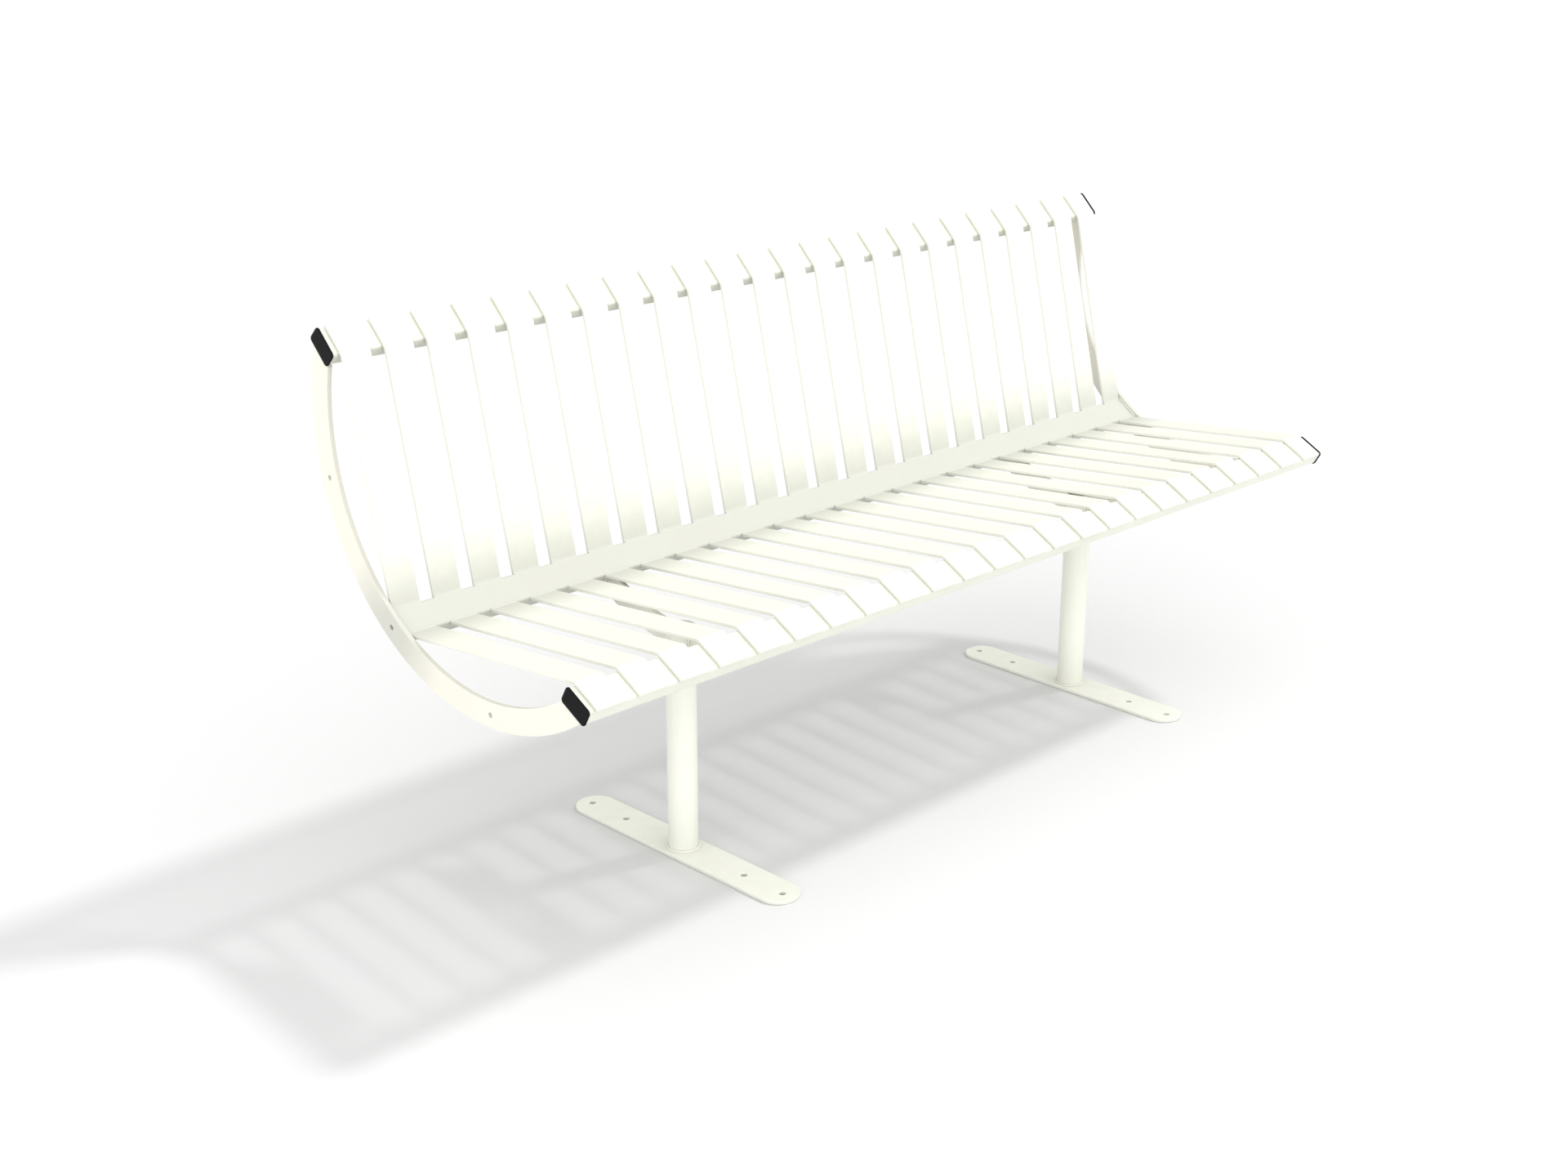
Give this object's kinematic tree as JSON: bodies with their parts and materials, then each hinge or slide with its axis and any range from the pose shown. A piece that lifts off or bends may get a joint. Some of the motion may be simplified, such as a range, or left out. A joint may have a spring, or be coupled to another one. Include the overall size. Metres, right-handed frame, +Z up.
{
  "type": "garden bench",
  "caption": "Steel garden bench: bent strips form the seat and back over rectangular rails, closed by curved end bars and carried on round posts with flat feet.",
  "frame": {"origin": "under the centre of the bounding box, on the floor", "axes": "+X along the bench towards the sitter's left, +Y towards the back, +Z up; the seat faces -Y"},
  "size_m": [1.8, 0.628, 0.8615],
  "materials": {
    "strip_coat": "cream satin powder coat",
    "bar_coat": "cream satin powder coat",
    "leg_coat": "cream satin powder coat",
    "cap_plastic": "black moulded polyethylene"
  },
  "bodies": {
    "root": {"top_rail": "strip_coat", "valley_rail": "strip_coat", "front_rail": "strip_coat", "rail_end_caps": "cap_plastic", "end_bar_left": "bar_coat", "end_bar_right": "bar_coat", "inner_bar_left": "bar_coat", "inner_bar_right": "bar_coat", "post_left": "leg_coat", "post_right": "leg_coat", "foot_left": "leg_coat", "foot_right": "leg_coat", "back_slat_01": "strip_coat", "back_slat_02": "strip_coat", "back_slat_03": "strip_coat", "back_slat_04": "strip_coat", "back_slat_05": "strip_coat", "back_slat_06": "strip_coat", "back_slat_07": "strip_coat", "back_slat_08": "strip_coat", "back_slat_09": "strip_coat", "back_slat_10": "strip_coat", "back_slat_11": "strip_coat", "back_slat_12": "strip_coat", "back_slat_13": "strip_coat", "back_slat_14": "strip_coat", "back_slat_15": "strip_coat", "back_slat_16": "strip_coat", "back_slat_17": "strip_coat", "back_slat_18": "strip_coat", "back_slat_19": "strip_coat", "back_slat_20": "strip_coat", "back_slat_21": "strip_coat", "back_slat_22": "strip_coat", "back_slat_23": "strip_coat", "back_slat_24": "strip_coat", "seat_slat_01": "strip_coat", "seat_slat_02": "strip_coat", "seat_slat_03": "strip_coat", "seat_slat_04": "strip_coat", "seat_slat_05": "strip_coat", "seat_slat_06": "strip_coat", "seat_slat_07": "strip_coat", "seat_slat_08": "strip_coat", "seat_slat_09": "strip_coat", "seat_slat_10": "strip_coat", "seat_slat_11": "strip_coat", "seat_slat_12": "strip_coat", "seat_slat_13": "strip_coat", "seat_slat_14": "strip_coat", "seat_slat_15": "strip_coat", "seat_slat_16": "strip_coat", "seat_slat_17": "strip_coat", "seat_slat_18": "strip_coat", "seat_slat_19": "strip_coat", "seat_slat_20": "strip_coat", "seat_slat_21": "strip_coat", "seat_slat_22": "strip_coat", "seat_slat_23": "strip_coat", "seat_slat_24": "strip_coat"}
  },
  "joints": []
}
